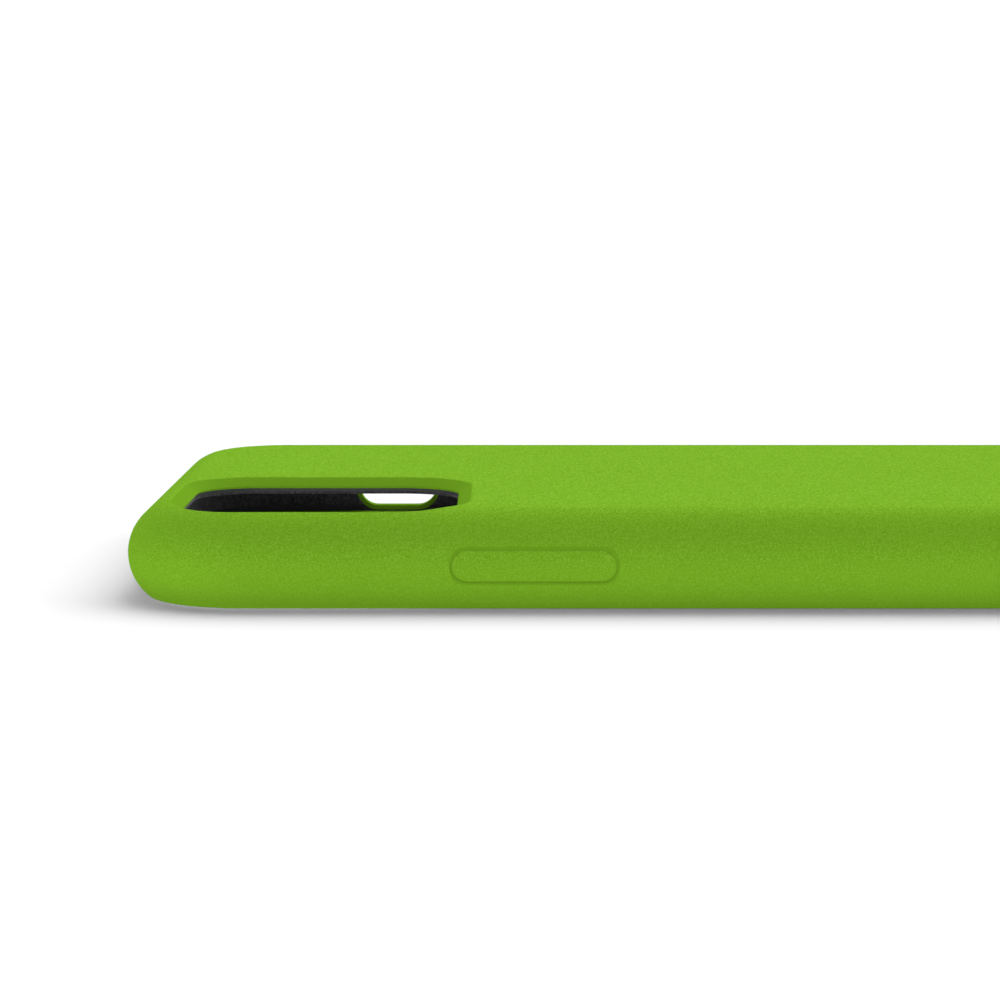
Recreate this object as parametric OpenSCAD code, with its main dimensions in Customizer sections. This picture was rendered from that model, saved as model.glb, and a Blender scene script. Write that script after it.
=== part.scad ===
// Soft-touch case for a two-lens phone: a silicone skin over a rigid frame, lined with microfibre.
// It lies with its open side down: +Z points out of the back, X runs along the phone with the
// phone's top end at -X, and the power button is on the -Y side. Sizes are in millimetres.
// Every layer follows the phone's own outline, so a layer is given by its distance from the phone.

/* [Phone] */
// Length of the phone that the case fits
phone_length = 150.9; // [146:0.1:160]
// Width of the phone
phone_width = 75.7; // [71:0.1:80]
// Thickness of the phone, whose long edges are fully rounded
phone_thickness = 8.3; // [8:0.1:9]
// Radius of the phone's corners, seen from the back
phone_corner_r = 12.1; // [11:0.1:13]

/* [Layers] */
// Gap between the phone and the lining
pocket_clearance = 0.1; // [0.05:0.05:0.15]
// Thickness of the microfibre lining
lining_thickness = 0.3; // [0.2:0.05:0.35]
// Thickness of the rigid frame
frame_thickness = 0.75; // [0.65:0.05:0.8]
// Thickness of the silicone skin over the rigid frame
skin_thickness = 0.85; // [0.8:0.05:1]

/* [Lip] */
// How far the front lip stands proud of the phone's screen
lip_height = 0.7; // [0.5:0.1:0.9]
// How far the lip reaches in over the edge of the phone
lip_reach = 1.75; // [1.4:0.05:1.9]
// Height of the rigid frame's lower edge
frame_bottom = 1.6; // [1.5:0.05:1.65]
// Height of the lower edge of the side linings
lining_bottom = 2.4; // [2.2:0.1:3]
// Height at which the back lining ends and the side linings start
lining_split = 7.55; // [7.3:0.05:8]
// Width of the seam between two pieces of lining
lining_seam = 0.15; // [0.1:0.05:0.3]

/* [Camera opening] */
// Length of the opening along the phone, inside its bevel
camera_length = 31.2; // [28:0.1:33]
// Width of the opening across the phone, inside its bevel
camera_width = 28.4; // [26:0.1:30]
// Corner radius of the opening, inside its bevel
camera_corner_r = 6.8; // [5:0.1:9]
// Distance from the phone's top end to the middle of the opening
camera_from_top = 20.1; // [19:0.1:22]
// Distance from the phone's long edge to the middle of the opening
camera_from_edge = 17.15; // [16.5:0.05:18]
// How far the bevel widens the opening at the back face
camera_bevel_width = 1.6; // [1:0.1:1.8]
// How deep the bevel runs below the back face
camera_bevel_depth = 1; // [0.9:0.05:1.1]
// Height of the straight edge of silicone under the bevel
camera_edge_height = 0.2; // [0.1:0.05:0.3]
// How far the rigid frame stands back from the edge of the opening
camera_set_back = 0.3; // [0.2:0.05:0.5]

/* [Buttons] */
// Length of the outline around the power button
power_length = 18.5; // [15:0.05:20]
// Distance from the phone's top end to the middle of the power button
power_from_top = 44.4; // [42:0.05:47]
// Length of the outline around each volume button
volume_length = 11.2; // [10:0.1:11.6]
// Distance from the phone's top end to the middle of the volume up button
volume_up_from_top = 40; // [39:0.1:41]
// Distance between the middles of the two volume buttons
volume_pitch = 13; // [12.8:0.1:14]
// Height of the outline around a button
button_height = 3.75; // [3.4:0.05:4]
// How far the buttons sit above the middle of the phone's edge, towards the back
button_rise = 0.24; // [0:0.02:0.4]
// Width of the groove around a button
groove_width = 0.2; // [0.2:0.02:0.4]
// Depth of the groove around a button
groove_depth = 0.3; // [0.2:0.05:0.4]
// Running gap between a button and the hole that guides it
button_clearance = 0.08; // [0.05:0.01:0.1]

/* [Openings] */
// Length of the slot over the mute switch
mute_length = 10.5; // [9:0.1:11]
// Height of the slot over the mute switch
mute_height = 5; // [4.4:0.1:5.2]
// Distance from the phone's top end to the middle of the mute slot
mute_from_top = 26.6; // [26:0.1:27]
// Width of the opening for the charging plug
port_width = 13.5; // [12:0.1:15]
// Height of the opening for the charging plug
port_height = 5; // [4.6:0.1:5.2]
// Diameter of a sound hole
sound_hole_d = 1.7; // [1.2:0.1:2]
// Number of sound holes on each side of the port
sound_holes = 5; // [3:1:6]
// Distance between the middles of two sound holes
sound_pitch = 2.7; // [2.4:0.1:2.8]
// Distance from the middle of the port to the nearest sound hole
sound_start = 10.8; // [10:0.1:12]

/* [Hidden] */
$fn = 96;

silicone_green = [0.44, 0.67, 0.15];
frame_grey = [0.23, 0.24, 0.25];
lining_grey = [0.17, 0.17, 0.18];

// Faces of the layers, as distances out from the phone
at_lining = pocket_clearance;
at_frame = at_lining + lining_thickness;
at_skin = at_frame + frame_thickness;
at_outside = at_skin + skin_thickness;
past_outside = at_outside + 2;

// Heights
mid_z = lip_height + phone_thickness / 2;
top_z = mid_z + phone_thickness / 2 + past_outside;
// A narrow ledge where the pocket meets the straight wall of the lip
mouth_ledge = 0.08;
mouth_roll = phone_thickness / 2 - lip_reach + mouth_ledge;
mouth_top = mid_z - sqrt(pow(phone_thickness / 2 + at_lining, 2) - pow(mouth_roll, 2));
button_z = mid_z + button_rise;
back_z = mid_z + phone_thickness / 2 + at_outside;
camera_edge_z = back_z - camera_bevel_depth - camera_edge_height;

// Places along and across the phone
top_end_x = -phone_length / 2;
camera_x = top_end_x + camera_from_top;
camera_y = -phone_width / 2 + camera_from_edge;
power_x = top_end_x + power_from_top;
volume_up_x = top_end_x + volume_up_from_top;
volume_down_x = volume_up_x + volume_pitch;
mute_x = top_end_x + mute_from_top;
lining_end_x = phone_length / 2 - phone_corner_r;

// Silicone that lines each window of the rigid frame
curb = 0.55;
// Gap between a lining and the curb beside it
curb_gap = 0.05;
// The pusher is a plate behind the cap, a little smaller than it
pusher_inner = 0.45;
pusher_outer = 0.85;
pusher_inset = 0.5;
power_side = -1;
volume_side = 1;
sound_row_length = (sound_holes - 1) * sound_pitch + sound_hole_d;

// Half of the outline of a layer, seen from its end: a flat slab with a rounded edge
module layer_edge(reach, roll, z_lo, z_hi) {
    intersection() {
        union() {
            translate([0, mid_z - roll]) square([reach - roll, 2 * roll]);
            translate([reach - roll, mid_z]) circle(r = roll);
        }
        translate([0, z_lo]) square([reach, z_hi - z_lo]);
    }
}

module layer_section(reach, roll, z_lo, z_hi) {
    layer_edge(reach, roll, z_lo, z_hi);
    mirror([1, 0]) layer_edge(reach, roll, z_lo, z_hi);
}

// The phone's own shape grown by a distance, cut to a band of heights
module grown_phone(distance, z_lo, z_hi) {
    half_length = phone_length / 2 + distance;
    half_width = phone_width / 2 + distance;
    corner = phone_corner_r + distance;
    roll = phone_thickness / 2 + distance;
    run_x = half_length - corner;
    run_y = half_width - corner;
    rotate([90, 0, 90]) linear_extrude(2 * run_x, center = true)
        layer_section(half_width, roll, z_lo, z_hi);
    rotate([90, 0, 0]) linear_extrude(2 * run_y, center = true)
        layer_section(half_length, roll, z_lo, z_hi);
    for (flip_x = [0, 1], flip_y = [0, 1])
        mirror([flip_x, 0, 0]) mirror([0, flip_y, 0])
            translate([run_x, run_y, 0]) rotate_extrude(angle = 90)
                layer_edge(corner, roll, z_lo, z_hi);
}

module rounded_rectangle(length, width, corner_r) {
    square([length - 2 * corner_r, width], center = true);
    square([length, width - 2 * corner_r], center = true);
    for (x = [-1, 1], y = [-1, 1])
        translate([x * (length / 2 - corner_r), y * (width / 2 - corner_r)]) circle(r = corner_r);
}

module stadium(length, height) {
    square([length - height, height], center = true);
    for (end = [-1, 1])
        translate([end * (length - height) / 2, 0]) circle(d = height);
}

// A stadium-shaped bar through a long side, between two distances from the phone
module side_bar(side, x, z, length, height, from, to) {
    translate([x, side * (phone_width / 2 + (from + to) / 2), z])
        rotate([90, 0, 0]) linear_extrude(to - from, center = true) stadium(length, height);
}

// The same through the bottom end
module end_bar(y, width, height, from, to) {
    translate([phone_length / 2 + (from + to) / 2, y, mid_z])
        rotate([90, 0, 90]) linear_extrude(to - from, center = true) stadium(width, height);
}

module camera_column(grow, z_lo, z_hi) {
    translate([camera_x, camera_y, z_lo]) linear_extrude(z_hi - z_lo)
        rounded_rectangle(camera_length + 2 * grow, camera_width + 2 * grow, camera_corner_r + grow);
}

// One wedge-sided bar of the camera bevel, which widens upwards past the back face
module bevel_bar(width, run) {
    rise = 2 * camera_bevel_depth;
    spread = 2 * camera_bevel_width;
    rotate([90, 0, 0]) linear_extrude(run, center = true)
        polygon([
            [-width / 2, 0],
            [width / 2, 0],
            [width / 2 + spread, rise],
            [-width / 2 - spread, rise],
        ]);
}

module camera_bevel() {
    rise = 2 * camera_bevel_depth;
    spread = 2 * camera_bevel_width;
    run_x = camera_length - 2 * camera_corner_r;
    run_y = camera_width - 2 * camera_corner_r;
    translate([camera_x, camera_y, back_z - camera_bevel_depth]) {
        bevel_bar(camera_length, run_y);
        rotate([0, 0, 90]) bevel_bar(camera_width, run_x);
        for (x = [-1, 1], y = [-1, 1])
            translate([x * run_x / 2, y * run_y / 2, 0])
                cylinder(h = rise, r1 = camera_corner_r, r2 = camera_corner_r + spread);
    }
}

// The outlines of the three buttons, grown by a distance, between two layers
module button_bars(grow, from, to) {
    height = button_height + 2 * grow;
    side_bar(power_side, power_x, button_z, power_length + 2 * grow, height, from, to);
    for (x = [volume_up_x, volume_down_x])
        side_bar(volume_side, x, button_z, volume_length + 2 * grow, height, from, to);
}

// The windows of the rigid frame. The skin lines them, so they are larger than the openings.
module windows(gap) {
    rim = curb + gap;
    button_bars(rim, -1, past_outside);
    side_bar(volume_side, mute_x, mid_z, mute_length + 2 * rim, mute_height + 2 * rim, -1, past_outside);
    end_bar(0, port_width + 2 * rim, port_height + 2 * rim, -1, past_outside);
    for (side = [-1, 1])
        end_bar(
            side * (sound_start + (sound_holes - 1) * sound_pitch / 2),
            sound_row_length + 2 * rim, sound_hole_d + 2 * rim, -1, past_outside
        );
    camera_column(camera_set_back + gap, mid_z, top_z);
}

module sound_holes_cut() {
    for (side = [-1, 1], i = [0 : sound_holes - 1])
        translate([phone_length / 2, side * (sound_start + i * sound_pitch), mid_z])
            rotate([0, 90, 0]) cylinder(d = sound_hole_d, h = 2 * past_outside, center = true);
}

module silicone_shell() {
    guide = button_clearance - groove_width;
    color(silicone_green) difference() {
        grown_phone(at_outside, 0, top_z);
        // Room for the rigid frame, less the curbs that pass through its windows
        difference() {
            grown_phone(at_skin, frame_bottom, top_z);
            windows(0);
        }
        // Room for the phone
        grown_phone(at_lining, mouth_top, top_z);
        translate([0, 0, -1]) linear_extrude(mouth_top + 1.2)
            rounded_rectangle(
                phone_length - 2 * lip_reach, phone_width - 2 * lip_reach, phone_corner_r - lip_reach
            );
        // Grooves that follow the curve of the edge, and the holes that guide the buttons
        difference() {
            button_bars(0, at_skin, past_outside);
            grown_phone(at_outside - groove_depth, 0, top_z);
        }
        button_bars(guide, -1, past_outside);
        // Openings. Under the camera bevel the silicone only folds over the edge of the frame.
        camera_column(0, mid_z, top_z);
        camera_column(camera_set_back, mid_z, camera_edge_z);
        camera_bevel();
        side_bar(volume_side, mute_x, mid_z, mute_length, mute_height, -1, past_outside);
        end_bar(0, port_width, port_height, -1, past_outside);
        sound_holes_cut();
    }
}

module rigid_frame() {
    color(frame_grey) difference() {
        grown_phone(at_skin, frame_bottom, top_z);
        grown_phone(at_frame, frame_bottom - 1, top_z);
        windows(0);
    }
}

// The lining between two heights, with its windows cut out
module lining(z_lo, z_hi) {
    color(lining_grey) difference() {
        grown_phone(at_frame, z_lo, z_hi);
        grown_phone(at_lining, z_lo - 1, z_hi + 1);
        windows(curb_gap);
    }
}

module back_lining() {
    lining(lining_split, top_z);
}

module side_lining(side) {
    reach = phone_width;
    intersection() {
        lining(lining_bottom, lining_split - lining_seam);
        translate([-lining_end_x, side > 0 ? 0 : -reach, 0]) cube([2 * lining_end_x, reach, top_z]);
    }
}

module end_lining(end) {
    reach = phone_length;
    start = lining_end_x + lining_seam;
    intersection() {
        lining(lining_bottom, lining_split - lining_seam);
        translate([end > 0 ? start : -start - reach, -reach / 2, 0]) cube([reach, reach, top_z]);
    }
}

module power_side_lining() {
    side_lining(power_side);
}

module volume_side_lining() {
    side_lining(volume_side);
}

module top_end_lining() {
    end_lining(-1);
}

module bottom_end_lining() {
    end_lining(1);
}

// The silicone part of a button that the finger presses, flush with the edge of the case
module button_cap(side, x, outline_length) {
    length = outline_length - 2 * groove_width;
    height = button_height - 2 * groove_width;
    color(silicone_green) intersection() {
        grown_phone(at_outside, 0, top_z);
        side_bar(side, x, button_z, length, height, pusher_outer, past_outside);
    }
}

// The hard plate behind the cap that presses the phone's own button
module button_pusher(side, x, outline_length) {
    inset = 2 * (groove_width + pusher_inset);
    color(frame_grey)
        side_bar(
            side, x, button_z, outline_length - inset, button_height - inset, pusher_inner, pusher_outer
        );
}

module power_button_cap() {
    button_cap(power_side, power_x, power_length);
}

module power_button_pusher() {
    button_pusher(power_side, power_x, power_length);
}

module volume_up_cap() {
    button_cap(volume_side, volume_up_x, volume_length);
}

module volume_up_pusher() {
    button_pusher(volume_side, volume_up_x, volume_length);
}

module volume_down_cap() {
    button_cap(volume_side, volume_down_x, volume_length);
}

module volume_down_pusher() {
    button_pusher(volume_side, volume_down_x, volume_length);
}

silicone_shell();
rigid_frame();
back_lining();
power_side_lining();
volume_side_lining();
top_end_lining();
bottom_end_lining();
power_button_cap();
power_button_pusher();
volume_up_cap();
volume_up_pusher();
volume_down_cap();
volume_down_pusher();
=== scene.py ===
import math

import bmesh
import bpy
import numpy as np
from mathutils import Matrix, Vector
from mathutils.geometry import delaunay_2d_cdt


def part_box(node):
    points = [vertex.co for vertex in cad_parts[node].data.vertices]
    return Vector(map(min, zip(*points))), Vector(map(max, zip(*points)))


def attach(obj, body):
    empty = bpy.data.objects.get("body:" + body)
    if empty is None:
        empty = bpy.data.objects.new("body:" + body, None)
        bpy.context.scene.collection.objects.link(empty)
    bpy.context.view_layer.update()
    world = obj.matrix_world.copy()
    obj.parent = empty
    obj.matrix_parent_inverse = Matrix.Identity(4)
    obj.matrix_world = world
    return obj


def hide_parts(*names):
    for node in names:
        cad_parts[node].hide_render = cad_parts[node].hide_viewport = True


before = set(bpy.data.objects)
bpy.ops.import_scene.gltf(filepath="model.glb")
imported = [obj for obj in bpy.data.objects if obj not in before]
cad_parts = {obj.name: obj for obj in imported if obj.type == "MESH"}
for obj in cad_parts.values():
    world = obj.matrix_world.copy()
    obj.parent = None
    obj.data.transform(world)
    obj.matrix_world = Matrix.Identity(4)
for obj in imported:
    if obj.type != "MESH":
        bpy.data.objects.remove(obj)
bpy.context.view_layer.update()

# The case lies with its open side down. Lengths here are in millimetres until a mesh is made.
# Its surfaces all follow one core line, a rounded rectangle through the centres of the round edge:
# a point is given by its distance out from the core line and its height.
MM = 1000.0


def corners_mm(node):
    low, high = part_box(node)
    return np.array(low) * MM, np.array(high) * MM


# ---- Sizes -------------------------------------------------------------------------------------

HALF_LENGTH, HALF_WIDTH, HEIGHT = corners_mm("silicone_shell")[1]
ROLL = 6.15  # radius of the round edge, outside
CORNER = 14.1  # radius of the corners seen from the back, outside
SKIN = 0.85  # thickness of the silicone over the frame
PLASTIC = 0.75  # thickness of the rigid frame
LINING = 0.3  # thickness of the microfibre

MID = HEIGHT - ROLL  # height of the core line
CORE_R = CORNER - ROLL
CORE_X, CORE_Y = HALF_LENGTH - ROLL, HALF_WIDTH - ROLL
RUN_X, RUN_Y = CORE_X - CORE_R, CORE_Y - CORE_R  # half lengths of the straight runs
R_SKIN = ROLL - SKIN  # inner face of the silicone
R_FRAME = R_SKIN - PLASTIC  # inner face of the frame
R_POCKET = R_FRAME - LINING  # inner face of the lining, where the phone goes

MOUTH = 2.4  # the lip's straight wall, out from the core line
MOUTH_TOP = 1.4
MOUTH_ROWS = (0.7, 1.1, MOUTH_TOP - 0.05)  # heights of the wall's rows of points
FRAME_BOTTOM = corners_mm("rigid_frame")[0][2]
LIP_OUTER_ROUND, LIP_INNER_ROUND = 0.35, 0.3

BLOCK_LOW, BLOCK_HIGH = 1.75, 8.1  # band of heights that holds every opening in the sides
BLOCK_ROWS = 26
BLOCK_MARGIN = 0.85  # from an opening to the edge of the block left open for it
TOP_ANGLE = math.radians(60)  # the back's own mesh starts this far up the round edge
CORNER_STEPS = 24
NEAR_STEP, FAR_STEP = 1.2, 3.0  # between the points along an opening, and along the rest of a side
LEAST_STEP = 0.01
BACK_STEP, BACK_MARGIN = 5.0, 2.0  # the grid on the back, and its distance from the round edge
STRIP_ROWS = 20

CURB = 0.55  # silicone that lines a window of the frame
CURB_ROUND = 0.1
CURB_WALL = 1.0  # height of the curb's straight wall over the pocket's surface
GROOVE = 0.2
GROOVE_DEPTH = 0.16
GROOVE_ROUND = 0.06  # on both edges of the groove
GROOVE_FOOT = 0.05  # where its outer wall meets its floor
BUTTON_GAP = 0.005  # between a cap and the hole that guides it
PUSHER_ROUND = 0.08
EDGE_ROUND = 0.3  # on the edges of the mute slot and the charging opening
SOUND_ROUND = 0.15
SPREAD = (0.7, 0.4, 0.15)  # rings between an opening and the edge of its block, as shares
SOUND_SPREAD = (0.75, 0.45, 0.15)
LINING_CLEAR = 0.05  # between the lining and the silicone in a window or opening
LINING_SEAM = 0.15  # between two strips

CAMERA_SIZE = np.array([31.2, 28.4])  # the opening inside the bevel
CAMERA_R = 6.8
CAMERA_CENTRE = np.array([-HALF_LENGTH + 22.1, -HALF_WIDTH + 19.15])
CAMERA_TURN_STEPS, CAMERA_STEP = 16, 1.5
BEVEL_WIDTH, BEVEL_DEPTH = 1.6, 1.0
BEVEL_FOOT = 0.12  # the bevel starts to turn down this far outside the opening
EDGE_TURN = 0.08  # and is upright this far below its lowest point
RIM_LIMIT = 2.0  # the bevel's rim is never further outside the opening
RIM_SOFT = 0.1  # how gently the back turns into the bevel
RIM_RINGS = (0.03, 0.07, 0.12, 0.18)  # distances of the close rings on each side of the rim
CAMERA_EDGE = 0.2  # from the foot of the bevel to the silicone's lowest point
CAMERA_EDGE_ROUND = 0.04
CAMERA_SET_BACK = 0.3  # of the frame's edge from the opening

MUTE = {"from_top": 28.6, "length": 10.5, "height": 5.0}
PORT = {"width": 13.5, "height": 5.0}
SOUND = {"diameter": 1.7, "count": 5, "pitch": 2.7, "start": 10.8}


# ---- The core line -----------------------------------------------------------------------------


class Side:
    """One straight side. u runs along it, counter-clockwise seen from above."""

    def __init__(self, normal, reach, run):
        self.normal = np.array(normal, float)
        self.along = np.array([-normal[1], normal[0]], float)
        self.reach, self.run = reach, run

    def place(self, u, out, z):
        out, u = np.asarray(out)[:, None], np.asarray(u)[:, None]
        flat = self.normal * (self.reach + out) + self.along * u
        return np.column_stack([flat, np.broadcast_to(z, len(flat))])


SIDES = {
    "power": Side((0, -1), CORE_Y, RUN_X),
    "bottom": Side((1, 0), CORE_X, RUN_Y),
    "volume": Side((0, 1), CORE_Y, RUN_X),
    "top": Side((-1, 0), CORE_X, RUN_Y),
}


def lay_stations(stops):
    """Points of the core line, its outward normals, and each side's first station."""
    core, normal, first = [], [], {}
    for name, side in SIDES.items():
        first[name] = len(core)
        for u in stops[name]:
            core.append(side.normal * side.reach + side.along * u)
            normal.append(side.normal)
        centre = side.normal * (side.reach - CORE_R) + side.along * side.run
        for step in range(1, CORNER_STEPS):
            turn = math.pi / 2 * step / CORNER_STEPS
            out = side.normal * math.cos(turn) + side.along * math.sin(turn)
            core.append(centre + CORE_R * out)
            normal.append(out)
    return np.array(core), np.array(normal), first


def round_edge(radius, z):
    """How far the round edge of a layer stands out from the core line at a height."""
    return np.sqrt(np.maximum(radius**2 - (np.asarray(z) - MID) ** 2, 0))


def past_core(flat):
    """How far points of the plan are outside the core line, and less than 0 inside it."""
    q = np.abs(flat) - np.array([RUN_X, RUN_Y])
    return np.linalg.norm(np.maximum(q, 0), axis=1) + np.minimum(q.max(1), 0) - CORE_R


def back_height(radius, flat):
    """Height of a layer above points of the plan."""
    return MID + np.sqrt(radius**2 - np.maximum(past_core(flat), 0) ** 2)


# ---- Mesh tools --------------------------------------------------------------------------------

SAME_PLACE = 2e-7  # metres
CREASE = math.radians(40)


class Solid:
    """Collects the vertices and faces of one closed mesh."""

    def __init__(self):
        self.points, self.faces, self.slots = [], [], []

    def add(self, points):
        first = len(self.points)
        self.points.extend(np.asarray(points, float))
        return list(range(first, len(self.points)))

    def face(self, corners, slot=0):
        self.faces.append(tuple(corners))
        self.slots.append(slot)

    def bridge(self, a, b, slot=0, closed=True):
        for i in range(len(a) if closed else len(a) - 1):
            j = (i + 1) % len(a)
            self.face((a[i], a[j], b[j], b[i]), slot)

    def rings(self, start, rings, slot=0):
        """Bridges from the loop start through each ring of points, and returns the last loop."""
        for ring in rings:
            loop = self.add(ring)
            self.bridge(start, loop, slot)
            start = loop
        return start


def inside(points, polygon):
    """Which points are inside a polygon."""
    a, b = polygon, np.roll(polygon, -1, axis=0)
    x, y = points[:, :1], points[:, 1:]
    crosses = (a[:, 1] > y) != (b[:, 1] > y)
    rise = np.where(b[:, 1] == a[:, 1], 1, b[:, 1] - a[:, 1])
    at = a[:, 0] + (y - a[:, 1]) / rise * (b[:, 0] - a[:, 0])
    return (crosses & (x < at)).sum(1) % 2 == 1


def fill(solid, outer, holes, loose_flat, loose_points, slot=0):
    """Triangles between an outer loop and its holes, each (vertex numbers, flat points)."""
    numbers, flat, edges = [], [], []
    for loop, points in [outer, *holes]:
        first = len(numbers)
        edges += [(first + i, first + (i + 1) % len(loop)) for i in range(len(loop))]
        numbers += list(loop)
        flat += [Vector(p) for p in points]
    numbers += solid.add(loose_points)
    flat += [Vector(p) for p in loose_flat]
    spots, _, triangles, sources, _, _ = delaunay_2d_cdt(flat, edges, [], 0, 1e-6)
    spots = np.array([tuple(s) for s in spots])
    middles = spots[np.array(triangles)].mean(1)
    keep = np.ones(len(triangles), bool)
    for _, points in holes:
        keep &= ~inside(middles, np.array(points))
    for triangle, kept in zip(triangles, keep):
        if kept:
            solid.face([numbers[sources[v][0]] for v in triangle], slot)


def lathe(solid, core, normal, profile, holes=(), closed=True):
    """A strip round the core line, one row for each (out, z) of the profile.
    holes are blocks (first station, last station, first row, last row) left open."""
    count = len(core)
    rows = [solid.add(np.column_stack([core + normal * out, np.full(count, z)])) for out, z in profile]
    for j in range(len(rows) - 1):
        for i in range(count if closed else count - 1):
            if not any(a <= i < b and c <= j < d for a, b, c, d in holes):
                k = (i + 1) % count
                solid.face((rows[j][i], rows[j][k], rows[j + 1][k], rows[j + 1][i]))
    return rows


def block_loop(rows, heights, block, us):
    """The edge of a block left open in a lathe: vertex numbers, and their (u, z)."""
    a, b, c, d = block
    path = [(i, c) for i in range(a, b)] + [(b, j) for j in range(c, d)]
    path += [(i, d) for i in range(b, a, -1)] + [(a, j) for j in range(d, c, -1)]
    loop = [rows[j][i] for i, j in path]
    return loop, np.array([(us[i - a], heights[j]) for i, j in path])


def finish_mesh(name, solid, materials):
    mesh = bpy.data.meshes.new(name)
    mesh.from_pydata([tuple(p / MM) for p in solid.points], [], solid.faces)
    for polygon, slot in zip(mesh.polygons, solid.slots):
        polygon.material_index = slot
    for material in materials:
        mesh.materials.append(material)
    tidy(mesh)
    obj = bpy.data.objects.new(name, mesh)
    obj.visible_diffuse = SILICONE not in materials  # its green doesn't tint the white floor
    bpy.context.scene.collection.objects.link(obj)
    return obj


def tidy(mesh):
    """Joins doubled points, turns the faces outwards and shades smooth but for sharp edges."""
    bm = bmesh.new()
    bm.from_mesh(mesh)
    bmesh.ops.remove_doubles(bm, verts=bm.verts, dist=SAME_PLACE)
    bmesh.ops.recalc_face_normals(bm, faces=bm.faces)
    for f in bm.faces:
        f.smooth = True
    for e in bm.edges:
        e.smooth = len(e.link_faces) == 2 and e.calc_face_angle() < CREASE
    bm.to_mesh(mesh)
    bm.free()


def wear(piece, body, node):
    """Put a piece on its body, in place of a node."""
    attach(piece, body)
    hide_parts(node)


# ---- Outlines on the sides ---------------------------------------------------------------------


class Outline:
    """A stadium on one side of the case. Rings round it are given by their distance outside it."""

    def __init__(self, side, u, z, length, height):
        self.side_name, self.side = side, SIDES[side]
        self.u, self.z, self.length, self.height = u, z, length, height

    def spokes(self, points):
        """Each point's nearest place on the stadium's middle line, way out and distance."""
        half = (self.length - self.height) / 2
        anchor = np.column_stack(
            [np.clip(points[:, 0], self.u - half, self.u + half), np.full(len(points), self.z)]
        )
        arm = points - anchor
        reach = np.linalg.norm(arm, axis=1)
        return anchor, arm / reach[:, None], reach - self.height / 2

    def own_spokes(self, steps=14):
        """Spokes of its own, evenly round the ends and a millimetre apart on the straight sides."""
        half = (self.length - self.height) / 2
        anchor, way = [], []
        for end, start in ((1, -math.pi / 2), (-1, math.pi / 2)):
            for turn in np.linspace(start, start + math.pi, steps + 1):
                anchor.append((self.u + end * half, self.z))
                way.append((math.cos(turn), math.sin(turn)))
            count = max(1, round(2 * half))
            for t in range(1, count):
                anchor.append((self.u + end * half * (1 - 2 * t / count), self.z))
                way.append((0, end))
        return np.array(anchor), np.array(way)

    def ring(self, anchor, way, distance):
        """Points (u, z) at a distance outside the stadium."""
        return anchor + way * (self.height / 2 + np.asarray(distance).reshape(-1, 1))

    def lay(self, uz, out):
        return self.side.place(uz[:, 0], np.broadcast_to(out, len(uz)), uz[:, 1])


def quarter(steps):
    """Angles of a rounded edge, from the face down into the hole, with both ends."""
    return np.linspace(0, math.pi / 2, steps + 1)


def rounded_in(outline, anchor, way, radius, steps):
    """Rings that turn over a rounded edge, from the outer surface into the hole."""
    for turn in quarter(steps):
        uz = outline.ring(anchor, way, radius * (1 - math.sin(turn)))
        yield outline.lay(uz, round_edge(ROLL, uz[:, 1]) - radius * (1 - math.cos(turn)))


def spread_rings(outline, anchor, way, near, far, radius, shares):
    """Rings on a layer's surface from the edge of a block towards an outline."""
    for share in shares:
        uz = outline.ring(anchor, way, near + (far - near) * share)
        yield outline.lay(uz, round_edge(radius, uz[:, 1]))


# ---- The openings ------------------------------------------------------------------------------


def button_outline(cap_node, side):
    low, high = corners_mm(cap_node)
    middle = (low + high) / 2
    u = float(SIDES[side].along @ middle[:2])
    return Outline(side, u, middle[2], high[0] - low[0] + 2 * GROOVE, high[2] - low[2] + 2 * GROOVE)


BUTTONS = {
    "power_button": button_outline("power_button_cap", "power"),
    "volume_up": button_outline("volume_up_cap", "volume"),
    "volume_down": button_outline("volume_down_cap", "volume"),
}
MUTE_SLOT = Outline("volume", HALF_LENGTH - MUTE["from_top"], MID, MUTE["length"], MUTE["height"])
PORT_HOLE = Outline("bottom", 0, MID, PORT["width"], PORT["height"])
SOUND_ROW = (SOUND["count"] - 1) * SOUND["pitch"]
SOUND_MARGIN = (SOUND["pitch"] - SOUND["diameter"]) / 2


def sound_row(side):
    """The stadium round one side's row of sound holes."""
    middle = side * (SOUND["start"] + SOUND_ROW / 2)
    return Outline("bottom", middle, MID, SOUND_ROW + SOUND["diameter"], SOUND["diameter"])


def sound_holes(side):
    places = sorted(side * (SOUND["start"] + i * SOUND["pitch"]) for i in range(SOUND["count"]))
    return [Outline("bottom", u, MID, SOUND["diameter"], SOUND["diameter"]) for u in places]


def reach_of(outline, margin=BLOCK_MARGIN):
    """How far an outline and a margin reach along its side."""
    half = outline.length / 2 + margin
    return round(outline.u - half, 4), round(outline.u + half, 4)


def opening_stops(outline):
    """Places along a side for one opening, close together near its ends."""
    low, high = reach_of(outline)
    end = outline.height / 2 + BLOCK_MARGIN
    fine = np.linspace(0, end, 9)
    count = max(2, round((high - low - 2 * end) / NEAR_STEP))
    return [*(low + fine), *np.linspace(low + end, high - end, count), *(high - fine)]


def evened(places):
    """Places in order, with long gaps filled and places that nearly coincide left out."""
    filled = [places[0]]
    for place in places[1:]:
        gap = place - filled[-1]
        parts = max(1, math.ceil(gap / FAR_STEP - 1e-6))
        filled += [filled[-1] + gap * k / parts for k in range(1, parts)]
        filled.append(place)
    merged = [filled[0]]
    for place in filled[1:]:
        if place - merged[-1] > LEAST_STEP:
            merged.append(place)
    return merged


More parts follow.
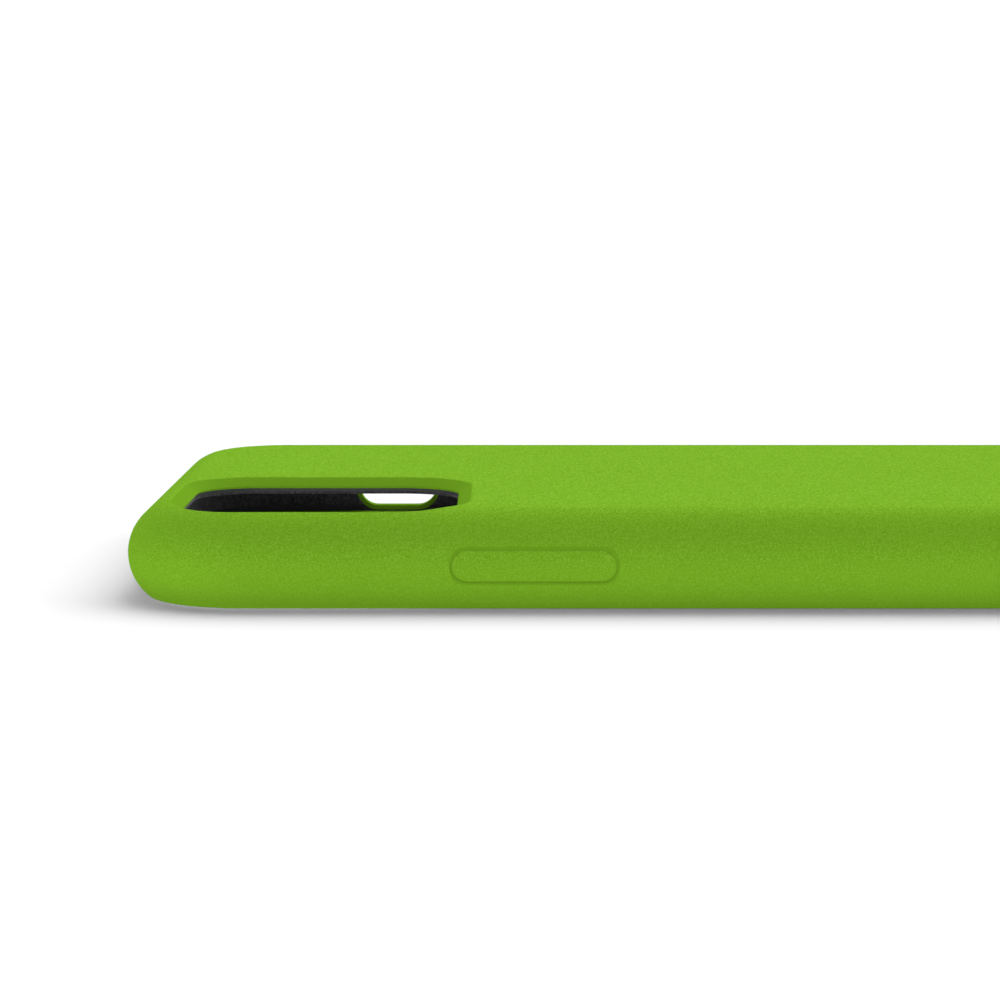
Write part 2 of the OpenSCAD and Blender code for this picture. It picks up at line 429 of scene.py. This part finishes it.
def side_stops():
    """Where the stations stand along each side."""
    stops = {name: {round(-side.run, 4), round(side.run, 4)} for name, side in SIDES.items()}
    for outline in [*BUTTONS.values(), MUTE_SLOT, PORT_HOLE]:
        stops[outline.side_name] |= {round(x, 4) for x in opening_stops(outline)}
    for hole in sound_holes(-1) + sound_holes(1):
        stops["bottom"] |= {round(x, 4) for x in np.linspace(*reach_of(hole, SOUND_MARGIN), 11)}
    return {name: evened(sorted(places)) for name, places in stops.items()}


STOPS = side_stops()
CORE, NORMAL, FIRST = lay_stations(STOPS)


def stations_of(side, low, high):
    """First and last station of a stretch of a side, and the stations' places along it."""
    us = np.array(STOPS[side])
    a, b = int(np.abs(us - low).argmin()), int(np.abs(us - high).argmin())
    return FIRST[side] + a, FIRST[side] + b, us[a : b + 1]


# ---- Silicone shell ----------------------------------------------------------------------------


def arc_rows(radius, start, end, steps):
    """Profile points on a layer's round edge between two angles, with both ends."""
    turns = np.linspace(start, end, steps + 1)
    return [(radius * math.cos(a), MID + radius * math.sin(a)) for a in turns]


def block_rows(radius):
    """Profile points down the band of heights that holds the openings."""
    heights = np.linspace(BLOCK_HIGH, BLOCK_LOW, BLOCK_ROWS + 1)
    return [(float(round_edge(radius, z)), float(z)) for z in heights]


def angle_at(radius, z):
    return math.asin((z - MID) / radius)


def shell_profile():
    """The shell's section, from the back's edge down outside, under the lip and up inside."""
    centre = math.sqrt((ROLL - LIP_OUTER_ROUND) ** 2 - (MID - LIP_OUTER_ROUND) ** 2)
    low = math.atan2(LIP_OUTER_ROUND - MID, centre)
    outer_top = arc_rows(ROLL, TOP_ANGLE, angle_at(ROLL, BLOCK_HIGH), 12)[:-1]
    outer_low = arc_rows(ROLL, angle_at(ROLL, BLOCK_LOW), low, 8)[1:-1]
    under = [
        (centre + LIP_OUTER_ROUND * math.cos(a), LIP_OUTER_ROUND * (1 + math.sin(a)))
        for a in np.linspace(low, -math.pi / 2, 6)
    ]
    inner = MOUTH + LIP_INNER_ROUND
    under += [(inner + (centre - inner) / 2, 0.0)]
    under += [
        (inner + LIP_INNER_ROUND * math.cos(a), LIP_INNER_ROUND * (1 + math.sin(a)))
        for a in np.linspace(-math.pi / 2, -math.pi, 6)
    ]
    wall = [(MOUTH, z) for z in MOUTH_ROWS]
    pocket = [(float(round_edge(R_POCKET, z)), z) for z in (MOUTH_TOP, FRAME_BOTTOM)]
    shelf = [(float(round_edge(R_SKIN, FRAME_BOTTOM)), FRAME_BOTTOM)]
    inner_top = arc_rows(R_SKIN, angle_at(R_SKIN, BLOCK_HIGH), TOP_ANGLE, 8)[1:]
    profile = outer_top + block_rows(ROLL)
    outer_block = (len(outer_top), len(profile) - 1)
    profile += outer_low + under + wall + pocket + shelf
    inner_block = (len(profile), len(profile) + BLOCK_ROWS)
    profile += block_rows(R_SKIN)[::-1] + inner_top
    return profile, outer_block, inner_block


def inner_curb(outline, anchor, way, start):
    """Rings down the wall of a hole, over its inner edge and across the curb's inner face."""
    uz = outline.ring(anchor, way, start)
    yield outline.lay(uz, round_edge(R_POCKET, uz[:, 1]) + CURB_WALL)
    for turn in quarter(3):
        uz = outline.ring(anchor, way, start + CURB_ROUND * (1 - math.cos(turn)))
        yield outline.lay(uz, round_edge(R_POCKET, uz[:, 1]) + CURB_ROUND * (1 - math.sin(turn)))
    uz = outline.ring(anchor, way, CURB)
    yield outline.lay(uz, round_edge(R_POCKET, uz[:, 1]))


def line_window(solid, loop, outline, spokes, start, inner_loop):
    """The silicone through a window of the frame, joined to the skin's inner face."""
    anchor, way, far = spokes
    loop = solid.rings(loop, inner_curb(outline, anchor, way, start), slot=1)
    back = spread_rings(outline, anchor, way, CURB, far, R_SKIN, (0, 0.5))
    solid.bridge(solid.rings(loop, back, slot=1), inner_loop, 1)


def cut_through(solid, outline, blocks):
    """A plain opening with a rounded edge, lined with silicone through the frame."""
    outer_loop, inner_loop, uz = blocks
    anchor, way, far = outline.spokes(uz)
    face = spread_rings(outline, anchor, way, EDGE_ROUND, far, ROLL, SPREAD)
    loop = solid.rings(outer_loop, face)
    loop = solid.rings(loop, rounded_in(outline, anchor, way, EDGE_ROUND, 5))
    line_window(solid, loop, outline, (anchor, way, far), 0, inner_loop)


def groove_floor(outline, anchor, way, hole):
    """Rings round the foot of the groove's outer wall, and at the floor's inner edge."""
    for turn in quarter(3):
        uz = outline.ring(anchor, way, -GROOVE_FOOT * (1 - math.cos(turn)))
        depth = GROOVE_DEPTH - GROOVE_FOOT * (1 - math.sin(turn))
        yield outline.lay(uz, round_edge(ROLL, uz[:, 1]) - depth)
    uz = outline.ring(anchor, way, hole)
    yield outline.lay(uz, round_edge(ROLL, uz[:, 1]) - GROOVE_DEPTH)


def cut_button(solid, outline, blocks):
    """The groove round a button, and the hole that guides it."""
    outer_loop, inner_loop, uz = blocks
    anchor, way, far = outline.spokes(uz)
    hole = BUTTON_GAP - GROOVE
    face = spread_rings(outline, anchor, way, GROOVE_ROUND, far, ROLL, SPREAD)
    loop = solid.rings(outer_loop, face)
    loop = solid.rings(loop, rounded_in(outline, anchor, way, GROOVE_ROUND, 5), slot=1)
    loop = solid.rings(loop, groove_floor(outline, anchor, way, hole), slot=1)
    line_window(solid, loop, outline, (anchor, way, far), hole, inner_loop)


def cut_sound_row(solid, rows, heights, row, inner_block, us, holes):
    """A row of sound holes, which share one window of the frame."""
    ends = []
    for hole, block, hole_us in holes:
        loop, uz = block_loop(rows, heights, block, hole_us)
        anchor, way, far = hole.spokes(uz)
        face = spread_rings(hole, anchor, way, SOUND_ROUND, far, ROLL, SOUND_SPREAD)
        loop = solid.rings(loop, face)
        loop = solid.rings(loop, rounded_in(hole, anchor, way, SOUND_ROUND, 4))
        uz = hole.ring(anchor, way, 0)
        loop = solid.rings(loop, [hole.lay(uz, round_edge(R_POCKET, uz[:, 1]))], slot=1)
        ends.append((loop, uz))
    loop, uz = block_loop(rows, heights, inner_block, us)
    anchor, way, far = row.spokes(uz)
    loop = solid.rings(loop, spread_rings(row, anchor, way, CURB, far, R_SKIN, (0.5, 0)), slot=1)
    uz = row.ring(anchor, way, CURB)
    loop = solid.rings(loop, [row.lay(uz, round_edge(R_POCKET, uz[:, 1]))], slot=1)
    fill(solid, (loop, uz), ends, np.zeros((0, 2)), np.zeros((0, 3)), 1)


def camera_spokes():
    """Places on the edge of the camera opening and the ways out from them."""
    half = CAMERA_SIZE / 2 - CAMERA_R
    places, ways = [], []
    for k, (sx, sy) in enumerate(((1, 1), (-1, 1), (-1, -1), (1, -1))):
        centre = CAMERA_CENTRE + half * (sx, sy)
        for turn in np.linspace(k * math.pi / 2, (k + 1) * math.pi / 2, CAMERA_TURN_STEPS + 1):
            way = np.array([math.cos(turn), math.sin(turn)])
            places.append(centre + CAMERA_R * way)
            ways.append(way)
        ahead = np.array([-ways[-1][1], ways[-1][0]])
        run = 2 * half[0] if k % 2 == 0 else 2 * half[1]
        count = round(run / CAMERA_STEP)
        for t in range(1, count):
            places.append(places[-1] + ahead * run / count)
            ways.append(ways[-1])
    return np.array(places), np.array(ways)


def soft_min(a, b, width):
    """The lower of two heights, with their meeting rounded."""
    share = np.clip(0.5 + 0.5 * (b - a) / width, 0, 1)
    return b * (1 - share) + a * share - width * share * (1 - share)


def bevel_height(distance):
    return HEIGHT - BEVEL_DEPTH + distance * BEVEL_DEPTH / BEVEL_WIDTH


def rim_distance(places, ways):
    """How far outside the opening its bevel meets the back, which falls away near the sides."""
    low, high = np.zeros(len(places)), np.full(len(places), RIM_LIMIT)
    for _ in range(40):
        middle = (low + high) / 2
        above = bevel_height(middle) > back_height(ROLL, places + ways * middle[:, None])
        low, high = np.where(above, low, middle), np.where(above, middle, high)
    return low


def lift(flat, z):
    return np.column_stack([flat, np.broadcast_to(z, len(flat))])


def camera_rings(places, ways):
    """Rings from the back to the bevel's rim, and from there down the bevel and its edge."""
    rim = rim_distance(places, ways)

    def ring(distance):
        flat = places + ways * np.reshape(distance, (-1, 1))
        return lift(flat, soft_min(back_height(ROLL, flat), bevel_height(distance), RIM_SOFT))

    over = [ring(rim + step) for step in (0.5, 0.3, *RIM_RINGS[::-1], 0)]
    down = [ring(rim - step) for step in RIM_RINGS]
    slope = rim - RIM_RINGS[-1] - BEVEL_FOOT
    down += [ring(BEVEL_FOOT + slope * share) for share in (0.66, 0.33, 0.0)]
    return over, down + camera_edge(places, ways)


def camera_edge(places, ways):
    """Rings that turn from the bevel into the opening's straight edge, and under it."""
    top, foot = bevel_height(0.0), bevel_height(BEVEL_FOOT)
    low = top - CAMERA_EDGE
    rings = []
    for t in (0.25, 0.5, 0.75, 1.0):
        z = foot * (1 - t) ** 2 + 2 * top * t * (1 - t) + (top - EDGE_TURN) * t**2
        rings.append(lift(places + ways * BEVEL_FOOT * (1 - t) ** 2, z))
    rings.append(lift(places, low + CAMERA_EDGE_ROUND))
    rings.append(lift(places + ways * CAMERA_EDGE_ROUND, low))
    rings.append(lift(places + ways * CAMERA_SET_BACK, low))
    return rings


def plan_points(radius, steps, hole):
    """Loose points for a back's mesh: rings up the round edge and a grid on the flat."""
    turns = np.linspace(TOP_ANGLE, math.pi / 2, steps + 1)[1:]
    rings = [CORE + NORMAL * radius * math.cos(a) for a in turns]
    xs, ys = (
        np.arange(-math.floor(reach / BACK_STEP) * BACK_STEP, reach, BACK_STEP)
        for reach in (CORE_X, CORE_Y)
    )
    grid = np.array([(x, y) for x in xs for y in ys])
    flat = np.concatenate([*rings, grid[past_core(grid) < -BACK_MARGIN]])
    flat = flat[~inside(flat, hole)]
    return flat, lift(flat, back_height(radius, flat))


def close_back(solid, loop, radius, hole_loop, hole_flat, margin, steps=8, slot=0):
    """Fills a layer's back between its outer loop and the loop round the camera opening.
    Its loose points keep a margin from that loop."""
    edge = CORE + NORMAL * radius * math.cos(TOP_ANGLE)
    middle = hole_flat.mean(0)
    arms = hole_flat - middle
    wide = middle + arms * (1 + margin / np.linalg.norm(arms, axis=1, keepdims=True))
    flat, points = plan_points(radius, steps, wide)
    fill(solid, (loop, edge), [(hole_loop, hole_flat)], flat, points, slot)


def shell_back(solid, rows):
    """The back's outer and inner faces, and the camera opening's bevel between them."""
    places, ways = camera_spokes()
    over, down = camera_rings(places, ways)
    first = solid.add(over[0])
    close_back(solid, rows[0], ROLL, first, over[0][:, :2], margin=0.25)
    loop = solid.rings(first, over[1:])
    loop = solid.rings(loop, down, slot=1)
    flat = down[-1][:, :2]
    last = solid.rings(loop, [lift(flat, back_height(R_SKIN, flat))], slot=1)
    close_back(solid, rows[-1], R_SKIN, last, flat, margin=0.4, slot=1)


def opening_jobs(outer, inner):
    """Each opening with the blocks left open for it, outside and inside."""
    jobs = []
    for outline in [*BUTTONS.values(), MUTE_SLOT, PORT_HOLE]:
        a, b, us = stations_of(outline.side_name, *reach_of(outline))
        jobs.append((outline, (a, b, *outer), (a, b, *inner), us))
    return jobs


def sound_jobs(outer, inner):
    """Each row of sound holes with its block inside, and each hole with its block outside."""
    jobs = []
    for side in (-1, 1):
        holes = []
        for hole in sound_holes(side):
            a, b, us = stations_of("bottom", *reach_of(hole, SOUND_MARGIN))
            holes.append((hole, (a, b, *outer), us))
        row = sound_row(side)
        a, b, us = stations_of("bottom", *reach_of(row, SOUND_MARGIN))
        jobs.append((row, (a, b, *inner), us, holes))
    return jobs


def silicone_shell():
    solid = Solid()
    profile, outer, inner = shell_profile()
    heights = [z for _, z in profile]
    openings, sounds = opening_jobs(outer, inner), sound_jobs(outer, inner)
    opened = [block for _, *blocks, _ in openings for block in blocks]
    for _, block, _, holes in sounds:
        opened += [block, *(hole_block for _, hole_block, _ in holes)]
    rows = lathe(solid, CORE, NORMAL, profile, opened)
    for outline, outer_block, inner_block, us in openings:
        outer_loop, uz = block_loop(rows, heights, outer_block, us)
        a, b, c, d = inner_block
        upside = rows[c : d + 1][::-1], heights[c : d + 1][::-1]
        inner_loop, _ = block_loop(*upside, (a, b, 0, d - c), us)
        cut = cut_button if outline in BUTTONS.values() else cut_through
        cut(solid, outline, (outer_loop, inner_loop, uz))
    for job in sounds:
        cut_sound_row(solid, rows, heights, *job)
    shell_back(solid, rows)
    # Slot 1 (the bevel, the groove, the holes and the inner faces) takes the silicone darkened by
    # painted shade.
    return finish_mesh("silicone_shell_moulded", solid, [SILICONE, SILICONE_SMOOTH_PAINTED_SHADE])


# ---- Buttons -----------------------------------------------------------------------------------


def button_plate(name, outline, inset, inner, outer_radius, outer_flat, edge, materials):
    """A stadium-shaped plate. Its outside follows the round edge, or is flat."""
    solid = Solid()
    anchor, way = outline.own_spokes()
    depth = outline.height / 2 - inset

    def ring(distance, drop):
        uz = outline.ring(anchor, way, -inset - distance)
        out = round_edge(outer_radius, uz[:, 1]) if outer_radius else np.full(len(uz), outer_flat)
        return outline.lay(uz, out - drop)

    def flat_ring(distance, out):
        return outline.lay(outline.ring(anchor, way, -inset - distance), out)

    loop = solid.add(ring(depth, 0))
    face = [ring(edge + (depth - edge) * share, 0) for share in (0.75, 0.5, 0.25, 0.1, 0)]
    turns = quarter(5)[1:]
    face += [ring(edge * (1 - math.sin(a)), edge * (1 - math.cos(a))) for a in turns]
    loop = solid.rings(loop, face)
    turns = quarter(4)
    under = [flat_ring(edge * (1 - math.cos(a)), inner + edge * (1 - math.sin(a))) for a in turns]
    under += [flat_ring(edge + (depth - edge) * share, inner) for share in (0.5, 1)]
    solid.rings(loop, under)
    return finish_mesh(name, solid, materials)


def buttons():
    """Each button's cap, and the hard plate behind it."""
    for name, outline in BUTTONS.items():
        cap, pusher = name + "_cap", name + "_pusher"
        low, high = corners_mm(cap)
        pusher_low, pusher_high = corners_mm(pusher)
        faces = sorted((abs(pusher_low[1]), abs(pusher_high[1])))
        inner, outer = (face - outline.side.reach for face in faces)
        inset = GROOVE + ((high[2] - low[2]) - (pusher_high[2] - pusher_low[2])) / 2
        moulded = button_plate(
            cap + "_moulded", outline, GROOVE, outer, ROLL, None, GROOVE_ROUND, [SILICONE]
        )
        plate = button_plate(
            pusher + "_moulded", outline, inset, inner, None, outer, PUSHER_ROUND, [PLASTIC_DARK]
        )
        body = name if name.endswith("_button") else name + "_button"
        wear(moulded, body, cap)
        wear(plate, body, pusher)


# ---- Linings -----------------------------------------------------------------------------------


def back_lining():
    """The microfibre on the inside of the back, with its edge turned down the round side."""
    solid = Solid()
    low = corners_mm("back_lining")[0][2]
    inner = arc_rows(R_POCKET, TOP_ANGLE, angle_at(R_POCKET, low), 8)
    outer = arc_rows(R_FRAME, angle_at(R_FRAME, low), TOP_ANGLE, 8)
    rows = lathe(solid, CORE, NORMAL, inner + outer)
    places, ways = camera_spokes()
    flat = places + ways * (CAMERA_SET_BACK + LINING_CLEAR)
    ends = [solid.add(lift(flat, back_height(radius, flat))) for radius in (R_POCKET, R_FRAME)]
    solid.bridge(*ends)
    close_back(solid, rows[0], R_POCKET, ends[0], flat, margin=0.4, steps=6)
    close_back(solid, rows[-1], R_FRAME, ends[1], flat, margin=0.4, steps=6)
    return finish_mesh("back_lining_cloth", solid, [MICROFIBRE])


def lining_strip(name, node, stations):
    """A strip of microfibre along the inside of one side, before its windows are cut."""
    solid = Solid()
    low, high = corners_mm(node)
    heights = np.linspace(low[2], high[2], STRIP_ROWS + 1)
    profile = [(float(round_edge(R_POCKET, z)), z) for z in heights]
    profile += [(float(round_edge(R_FRAME, z)), z) for z in heights[::-1]]
    core, normal = stations
    rows = lathe(solid, core, normal, profile, closed=False)
    solid.bridge(rows[-1], rows[0], closed=False)
    for end in (0, -1):
        ring = [row[end] for row in rows]
        for a in range(STRIP_ROWS):
            solid.face((ring[a], ring[a + 1], ring[-2 - a], ring[-1 - a]))
    return finish_mesh(name, solid, [MICROFIBRE])


def window_cutter(outline, grow):
    """A bar of an outline's shape, through the side."""
    solid = Solid()
    anchor, way = outline.own_spokes(steps=20)
    uz = outline.ring(anchor, way, grow)
    ends = [solid.add(outline.lay(uz, out)) for out in (1.0, ROLL + 1)]
    solid.bridge(*ends)
    for end in ends:
        solid.face(end)
    return finish_mesh("cutter", solid, [])


def cut_windows(obj, outlines, grow):
    for outline in outlines:
        cutter = window_cutter(outline, grow)
        boolean = obj.modifiers.new("window", "BOOLEAN")
        boolean.object, boolean.operation, boolean.solver = cutter, "DIFFERENCE", "EXACT"
        bpy.context.view_layer.objects.active = obj
        bpy.ops.object.modifier_apply(modifier=boolean.name)
        bpy.data.objects.remove(cutter)
    tidy(obj.data)
    return obj


def long_side_stations(side):
    a, b = FIRST[side], FIRST[side] + len(STOPS[side])
    return CORE[a:b], NORMAL[a:b]


def end_stations(side):
    """Stations of an end strip: the end, the corners beside it, and their seams."""
    first, count = FIRST[side], len(STOPS[side])
    picked = np.arange(first - CORNER_STEPS + 1, first + count + CORNER_STEPS - 1) % len(CORE)
    core, normal = CORE[picked], NORMAL[picked]
    out = SIDES[side].normal
    starts = []
    for sign in (-1, 1):
        along = SIDES[side].along * sign
        starts.append((out * (RUN_X + LINING_SEAM) + along * CORE_Y, along))
    core = np.vstack([starts[0][0], core, starts[1][0]])
    normal = np.vstack([starts[0][1], normal, starts[1][1]])
    return core, normal


def lining(node, stations, outlines=()):
    """One strip of the lining, with its windows cut."""
    strip = lining_strip(node + "_cloth", node, stations)
    return cut_windows(strip, outlines, CURB + LINING_CLEAR) if outlines else strip


def linings():
    back = back_lining()
    power, volume = BUTTONS["power_button"], [BUTTONS["volume_up"], BUTTONS["volume_down"]]
    ends = [PORT_HOLE, sound_row(-1), sound_row(1)]
    made = {
        "back_lining": back,
        "power_side_lining": lining("power_side_lining", long_side_stations("power"), [power]),
        "volume_side_lining": lining(
            "volume_side_lining", long_side_stations("volume"), [*volume, MUTE_SLOT]
        ),
        "top_end_lining": lining("top_end_lining", end_stations("top")),
        "bottom_end_lining": lining("bottom_end_lining", end_stations("bottom"), ends),
    }
    for node, piece in made.items():
        wear(piece, "case", node)
    declare_back_lining()


def declare_back_lining():
    """How far the back lining's edge turns down the round side, worked out and not used."""
    radius = (R_POCKET + R_FRAME) / 2
    turned_down = radius * (math.pi / 2 - angle_at(radius, corners_mm("back_lining")[0][2]))


# ---- Materials ---------------------------------------------------------------------------------

GREEN = (0.181, 0.402, 0.0172)
PAINTED_RECESS_SHADE = 0.86  # painted shade: the bevel, the groove and the holes are this much darker


class Nodes:
    """A short way to make and join a material's nodes."""

    def __init__(self, name):
        self.material = bpy.data.materials.new(name)
        self.material.use_nodes = True
        self.tree = self.material.node_tree
        self.shader = next(n for n in self.tree.nodes if n.type == "BSDF_PRINCIPLED")

    def new(self, kind, **values):
        node = self.tree.nodes.new(kind)
        for key, value in values.items():
            if key in node.inputs:
                node.inputs[key].default_value = value
            else:
                setattr(node, key, value)
        return node

    def join(self, source, target):
        self.tree.links.new(source, target)


def noise(nodes, scale, detail, roughness):
    node = nodes.new("ShaderNodeTexNoise", Scale=scale, Detail=detail, Roughness=roughness)
    nodes.join(nodes.new("ShaderNodeTexCoord").outputs["Object"], node.inputs["Vector"])
    return node.outputs["Fac"]


def ramp(nodes, factor, stops):
    node = nodes.new("ShaderNodeValToRGB")
    elements = node.color_ramp.elements
    while len(elements) < len(stops):
        elements.new(0.5)
    for element, (place, colour) in zip(elements, stops):
        element.position, element.color = place, (*colour, 1)
    nodes.join(factor, node.inputs["Fac"])
    return node.outputs["Color"]


def bump(nodes, height, distance, strength, previous=None):
    node = nodes.new("ShaderNodeBump", Strength=strength, Distance=distance)
    nodes.join(height, node.inputs["Height"])
    if previous is not None:
        nodes.join(previous, node.inputs["Normal"])
    return node.outputs["Normal"]


def blend(nodes, kind, factor, first, second):
    """Mixes two colours, each a colour or an output."""
    mix = nodes.new("ShaderNodeMix", data_type="RGBA", blend_type=kind)
    for value, socket in ((factor, mix.inputs[0]), (first, mix.inputs[6]), (second, mix.inputs[7])):
        if isinstance(value, bpy.types.NodeSocket):
            nodes.join(value, socket)
        else:
            socket.default_value = value
    return mix.outputs[2]


def grain_shown(nodes):
    """Nearly all of the grain where a face looks up, half of it sideways and less looking down."""
    split = nodes.new("ShaderNodeSeparateXYZ")
    nodes.join(nodes.new("ShaderNodeNewGeometry").outputs["Normal"], split.inputs[0])
    half = nodes.new("ShaderNodeMath", operation="MULTIPLY_ADD")
    half.inputs[1].default_value, half.inputs[2].default_value = 0.5, 0.5
    nodes.join(split.outputs["Z"], half.inputs[0])
    stops = [(0.0, 0.27), (0.4, 0.34), (0.53, 0.48), (0.92, 0.5), (1.0, 0.9)]
    return ramp(nodes, half.outputs[0], [(place, (share,) * 3) for place, share in stops])


def shade(colour, step):
    """A colour made lighter or darker by an equal step of what the screen shows in each channel."""
    shown = [c ** (1 / 2.2) + step for c in colour]
    return tuple(max(s, 0) ** 2.2 for s in shown)


def silicone(name, colour, grain):
    """Soft-touch silicone: matt, with a fine grain of lighter and darker specks."""
    nodes = Nodes(name)
    shader = nodes.shader
    shader.inputs["Roughness"].default_value = 0.85
    shader.inputs["Specular IOR Level"].default_value = 0.001
    fine = noise(nodes, 5600.0, 3.0, 0.6)
    broad = noise(nodes, 60.0, 2.0, 0.5)
    darker, lighter = shade(colour, -grain), shade(colour, grain)
    speckle = ramp(nodes, fine, [(0.3, darker), (0.5, colour), (0.7, lighter)])
    grained = blend(nodes, "MIX", grain_shown(nodes), (*colour, 1), speckle)
    drift = ramp(nodes, broad, [(0.3, (0.98, 0.98, 0.98)), (0.7, (1.0, 1.0, 1.0))])
    nodes.join(blend(nodes, "MULTIPLY", 1.0, grained, drift), shader.inputs["Base Color"])
    nodes.join(bump(nodes, fine, 0.00002, min(0.5, grain * 5)), shader.inputs["Normal"])
    return nodes.material


def microfibre():
    """Short charcoal nap: fine fibres, a soft mottle and a velvet sheen."""
    nodes = Nodes("microfibre")
    shader = nodes.shader
    shader.inputs["Roughness"].default_value = 0.95
    shader.inputs["Specular IOR Level"].default_value = 0.1
    shader.inputs["Sheen Weight"].default_value = 0.15
    shader.inputs["Sheen Roughness"].default_value = 0.6
    fibre = noise(nodes, 2600.0, 4.0, 0.7)
    tuft = noise(nodes, 700.0, 3.0, 0.65)
    mottle = noise(nodes, 90.0, 3.0, 0.6)
    dark, pale = (0.018, 0.018, 0.02), (0.095, 0.095, 0.1)
    base = ramp(nodes, fibre, [(0.35, dark), (0.68, pale)])
    between = ramp(nodes, tuft, [(0.35, (0.6,) * 3), (0.65, (1.0,) * 3)])
    tufted = blend(nodes, "MULTIPLY", 1.0, base, between)
    patch = ramp(nodes, mottle, [(0.35, (0.72,) * 3), (0.65, (1.0,) * 3)])
    nodes.join(blend(nodes, "MULTIPLY", 1.0, tufted, patch), shader.inputs["Base Color"])
    nap = bump(nodes, tuft, 0.00015, 0.8)
    nodes.join(bump(nodes, fibre, 0.0001, 0.8, nap), shader.inputs["Normal"])
    return nodes.material


def dark_plastic():
    """The frame's satin plastic, with a faint moulded texture."""
    nodes = Nodes("dark_plastic")
    shader = nodes.shader
    shader.inputs["Roughness"].default_value = 0.5
    spark = noise(nodes, 1800.0, 2.0, 0.5)
    nodes.join(
        ramp(nodes, spark, [(0.3, (0.026, 0.027, 0.028)), (0.7, (0.036, 0.037, 0.039))]),
        shader.inputs["Base Color"],
    )
    nodes.join(bump(nodes, spark, 0.00002, 0.4), shader.inputs["Normal"])
    return nodes.material


SILICONE = silicone("silicone_grained", GREEN, grain=0.13)
# The smooth silicone of the bevel, the groove and the holes: a real finer grain, and its green
# darkened by painted shade.
SILICONE_SMOOTH_PAINTED_SHADE = silicone("silicone_smooth_painted_shade", tuple(c * PAINTED_RECESS_SHADE for c in GREEN), grain=0.012)
MICROFIBRE = microfibre()
PLASTIC_DARK = dark_plastic()


# ---- Room --------------------------------------------------------------------------------------


FLOOR_HALF = 30.0  # metres
# How strongly the room and the floor light the case, and how bright they look.
ROOM_CAST, ROOM_SEEN = 0.15, 1.05
FLOOR_CAST, FLOOR_SEEN = 0.4, 0.02
# Soft lights: compass direction, height over the floor, softness (all in degrees) and strength.
LIGHTS = {
    "key": (60, 50, 50, 0.505),
    "low_key": (60, 30, 50, 0.25),
    "back": (110, 50, 50, 0.33),
    "right_fill": (10, 30, 40, 0.18),
    "left_fill": (200, 25, 50, 0.18),
    "front_fill": (-100, 24, 25, 0.2),
    "low_front": (-95, 3, 12, 0.05),
}


def cast_and_seen(tree, cast, seen, strength):
    """Let a surface cast one strength of light and show the camera another."""
    choice = tree.nodes.new("ShaderNodeMapRange")
    choice.inputs["To Min"].default_value = cast
    choice.inputs["To Max"].default_value = seen
    path = tree.nodes.new("ShaderNodeLightPath")
    tree.links.new(path.outputs["Is Camera Ray"], choice.inputs["Value"])
    tree.links.new(choice.outputs["Result"], strength)


def room():
    """A white floor in an even white room."""
    mesh = bpy.data.meshes.new("floor")
    corners = [(x * FLOOR_HALF, y * FLOOR_HALF, 0) for x, y in ((-1, -1), (1, -1), (1, 1), (-1, 1))]
    mesh.from_pydata(corners, [], [(0, 1, 2, 3)])
    floor = bpy.data.objects.new("floor", mesh)
    bpy.context.scene.collection.objects.link(floor)
    nodes = Nodes("floor_white")
    nodes.shader.inputs["Base Color"].default_value = (0.9, 0.9, 0.9, 1)
    nodes.shader.inputs["Roughness"].default_value = 0.9
    nodes.shader.inputs["Specular IOR Level"].default_value = 0.0
    nodes.shader.inputs["Emission Color"].default_value = (1, 1, 1, 1)
    glow = nodes.shader.inputs["Emission Strength"]
    cast_and_seen(nodes.tree, FLOOR_CAST, FLOOR_SEEN, glow)
    mesh.materials.append(nodes.material)
    world = bpy.data.worlds.new("white_room")
    world.use_nodes = True
    tree = world.node_tree
    background = tree.nodes["Background"]
    background.inputs["Color"].default_value = (1, 1, 1, 1)
    cast_and_seen(tree, ROOM_CAST, ROOM_SEEN, background.inputs["Strength"])
    bpy.context.scene.world = world
    bpy.context.scene.view_settings.view_transform = "Standard"


def soft_lights():
    for name, (compass, height, softness, strength) in LIGHTS.items():
        light = bpy.data.lights.new(name, "SUN")
        light.energy, light.angle = strength * math.pi, math.radians(softness)
        a, e = math.radians(compass), math.radians(height)
        way = Vector((math.cos(a) * math.cos(e), math.sin(a) * math.cos(e), math.sin(e)))
        obj = bpy.data.objects.new(name, light)
        obj.rotation_euler = way.to_track_quat("Z", "Y").to_euler()
        bpy.context.scene.collection.objects.link(obj)


# The view: from the power button's side, looking straight across the case and a little down.
VIEW_LENS, VIEW_SENSOR = 99.04, 36.0
VIEW_FROM_TOP, VIEW_OFF_SIDE, VIEW_HEIGHT = 42.62, 298.99, 48.81
VIEW_DOWN = 0.1211  # radians


def camera():
    lens = bpy.data.cameras.new("camera")
    lens.lens, lens.sensor_width = VIEW_LENS, VIEW_SENSOR
    lens.clip_start, lens.clip_end = 0.01, 100.0
    obj = bpy.data.objects.new("camera", lens)
    place = (VIEW_FROM_TOP - HALF_LENGTH, -HALF_WIDTH - VIEW_OFF_SIDE, VIEW_HEIGHT)
    obj.location = tuple(c / MM for c in place)
    obj.rotation_euler = (math.pi / 2 - VIEW_DOWN, 0, 0)
    bpy.context.scene.collection.objects.link(obj)
    bpy.context.scene.camera = obj


# ---- The case ----------------------------------------------------------------------------------

camera()
room()
soft_lights()

wear(silicone_shell(), "case", "silicone_shell")
buttons()
linings()
plastic_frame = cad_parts["rigid_frame"]
plastic_frame.data.materials.clear()
plastic_frame.data.materials.append(PLASTIC_DARK)
